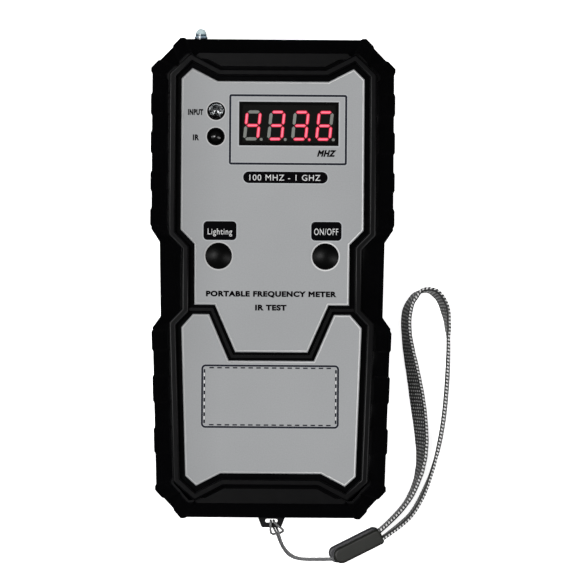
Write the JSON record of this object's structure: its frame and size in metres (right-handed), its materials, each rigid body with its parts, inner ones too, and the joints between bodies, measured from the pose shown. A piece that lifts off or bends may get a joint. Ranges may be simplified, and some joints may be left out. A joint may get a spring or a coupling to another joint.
{
  "type": "handheld frequency counter",
  "caption": "Handheld radio frequency counter in a ribbed black case, with a red digit display, push buttons, lamps, a battery hatch and a wrist strap.",
  "frame": {"origin": "middle of the flat back, on the surface the case rests on", "axes": "+Z out of the front panel, +Y to the display end, +X to the right seen from the front"},
  "size_m": [0.0919, 0.1625, 0.027],
  "materials": {
    "case_plastic": "fine satin texture",
    "panel_grey": "satin",
    "button_black": "satin, domed",
    "display_black": "gloss",
    "display_face": "gloss epoxy",
    "segment_lit": "lit, red",
    "segment_dark": "unlit, grey",
    "lens_clear": "clear epoxy",
    "lens_black": "gloss, dark epoxy",
    "plated_metal": "tinned",
    "screw_steel": "zinc plated",
    "board_green": "solder mask",
    "chip_black": "moulded epoxy",
    "resistor_black": "glazed chip",
    "capacitor_blue": "sleeve",
    "switch_black": "moulded",
    "winding_copper": "enamelled wire",
    "ferrite": "sintered",
    "battery_jacket": "satin jacket",
    "snap_vinyl": "soft vinyl",
    "wire_red": "insulation",
    "wire_black": "insulation",
    "header_white": "nylon",
    "foam_black": "closed-cell foam",
    "strap_string": "braided string",
    "clip_plastic": "satin",
    "strap_webbing": "woven with pale dashes"
  },
  "bodies": {
    "root": {"front_shell": "case_plastic", "rear_shell": "case_plastic", "upper_faceplate": "panel_grey", "lower_faceplate": "panel_grey", "display_housing": "display_black", "display_face": "display_face", "display_segments_lit": "segment_lit", "display_segments_dark": "segment_dark", "display_pins": "plated_metal", "input_lamp": "lens_clear", "torch_lamp": "lens_clear", "ir_receiver": "lens_black", "input_lamp_leads": "plated_metal", "ir_receiver_leads": "plated_metal", "torch_lamp_leads": "plated_metal", "main_board": "board_green", "processor_chip": "chip_black", "prescaler_chip": "chip_black", "chip_legs": "plated_metal", "crystal": "plated_metal", "voltage_regulator": "chip_black", "capacitors": "capacitor_blue", "resistors": "resistor_black", "digit_transistors": "chip_black", "pickup_coil_core": "ferrite", "pickup_coil_winding": "winding_copper", "board_screws": "screw_steel", "case_screws": "screw_steel", "battery": "battery_jacket", "battery_terminals": "plated_metal", "battery_snap": "snap_vinyl", "snap_contacts": "plated_metal", "battery_lead_red": "wire_red", "battery_lead_black": "wire_black", "battery_header": "header_white", "lighting_switch_body": "switch_black", "power_switch_body": "switch_black", "lighting_switch_cover": "plated_metal", "power_switch_cover": "plated_metal", "strap_string": "strap_string", "strap_clip_front": "clip_plastic", "strap_clip_back": "clip_plastic", "strap_webbing": "strap_webbing"},
    "lighting_key": {"lighting_button": "button_black", "lighting_plunger": "switch_black"},
    "power_key": {"power_button": "button_black", "power_plunger": "switch_black"},
    "battery_hatch": {"battery_door": "case_plastic", "door_screw": "screw_steel", "battery_pad": "foam_black"}
  },
  "joints": [
    {"name": "lighting_press", "type": "slide", "parent": "root", "child": "lighting_key", "axis": [0, 0, -1], "range_m": [0, 0.0003], "stiffness_N_per_m": 3000},
    {"name": "power_press", "type": "slide", "parent": "root", "child": "power_key", "axis": [0, 0, -1], "range_m": [0, 0.0003], "stiffness_N_per_m": 3000},
    {"name": "hatch_swing", "type": "hinge", "parent": "root", "child": "battery_hatch", "pos_m": [0, -0.0669, 0.0012], "axis": [-1, 0, 0], "range_deg": [0, 75]}
  ]
}
